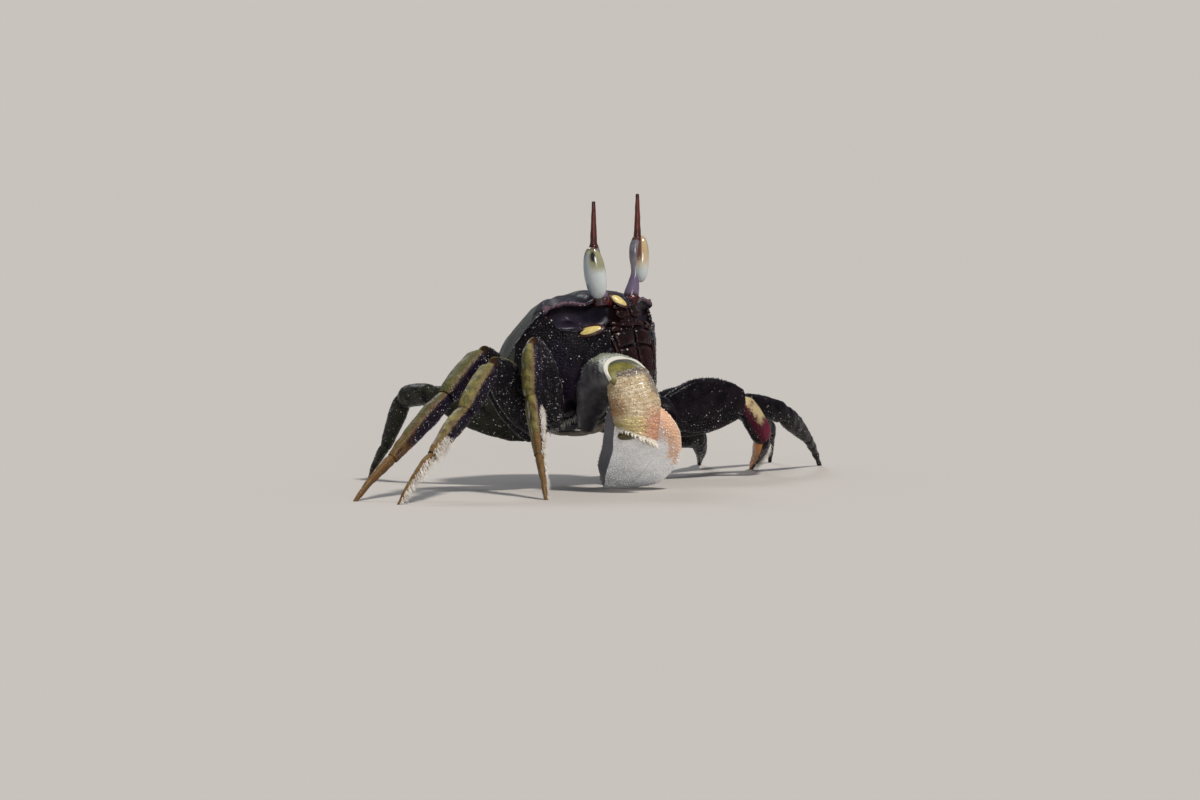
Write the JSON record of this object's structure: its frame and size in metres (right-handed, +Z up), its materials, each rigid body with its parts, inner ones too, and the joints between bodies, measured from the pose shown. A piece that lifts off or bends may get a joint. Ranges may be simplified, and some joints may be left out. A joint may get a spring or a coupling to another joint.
{
  "type": "horned ghost crab model",
  "caption": "Life-size horned ghost crab standing on its legs, eyestalks and horns raised, the large right claw folded in front of the mouth.",
  "frame": {"origin": "middle of the footprint, on the floor", "axes": "+Z up; the crab faces -Y, its left side lies towards +X"},
  "size_m": [0.1878, 0.1, 0.0762],
  "materials": {
    "carapace": "olive grey to near black horny shell, finely granular, wet sheen",
    "mouth_parts": "dark red brown horny plates, granular, wet sheen",
    "belly": "grey brown horny plates, satin",
    "eye_stalk": "grey lavender horny skin, smooth, wet sheen",
    "cornea": "pale grey cornea, glossy",
    "horn": "mahogany brown horn, smooth",
    "straw_leg": "straw yellow horny shell with purple black granular sides",
    "dark_leg": "purple black horny shell, granular, wet sheen",
    "claw_arm": "grey lavender horny shell with a granular crest",
    "claw_wrist": "straw and tan granular horny shell",
    "claw_hand": "white granular horny shell, orange towards the upper edge"
  },
  "bodies": {
    "root": {"trunk": "carapace", "mouth_cover_right": "mouth_parts", "mouth_cover_left": "mouth_parts", "tail_plate": "belly", "eye_stalk_right": "eye_stalk", "eye_cornea_right": "cornea", "eye_horn_right": "horn", "eye_stalk_left": "eye_stalk", "eye_cornea_left": "cornea", "eye_horn_left": "horn", "claw_right_merus": "claw_arm", "claw_right_carpus": "claw_wrist", "claw_right_palm": "claw_hand", "claw_right_dactyl": "claw_hand", "claw_left_merus": "dark_leg", "claw_left_carpus": "dark_leg", "claw_left_palm": "claw_hand", "claw_left_dactyl": "claw_hand", "leg_right_1_merus": "straw_leg", "leg_right_1_carpus": "straw_leg", "leg_right_1_propodus": "straw_leg", "leg_right_1_dactyl": "straw_leg", "leg_right_2_merus": "straw_leg", "leg_right_2_carpus": "straw_leg", "leg_right_2_propodus": "straw_leg", "leg_right_2_dactyl": "straw_leg", "leg_right_3_merus": "straw_leg", "leg_right_3_carpus": "straw_leg", "leg_right_3_propodus": "straw_leg", "leg_right_3_dactyl": "straw_leg", "leg_right_4_merus": "dark_leg", "leg_right_4_carpus": "dark_leg", "leg_right_4_propodus": "dark_leg", "leg_right_4_dactyl": "dark_leg", "leg_left_1_merus": "dark_leg", "leg_left_1_carpus": "dark_leg", "leg_left_1_propodus": "dark_leg", "leg_left_1_dactyl": "dark_leg", "leg_left_2_merus": "dark_leg", "leg_left_2_carpus": "dark_leg", "leg_left_2_propodus": "dark_leg", "leg_left_2_dactyl": "dark_leg", "leg_left_3_merus": "dark_leg", "leg_left_3_carpus": "dark_leg", "leg_left_3_propodus": "dark_leg", "leg_left_3_dactyl": "dark_leg", "leg_left_4_merus": "dark_leg", "leg_left_4_carpus": "dark_leg", "leg_left_4_propodus": "dark_leg", "leg_left_4_dactyl": "dark_leg"}
  },
  "joints": []
}
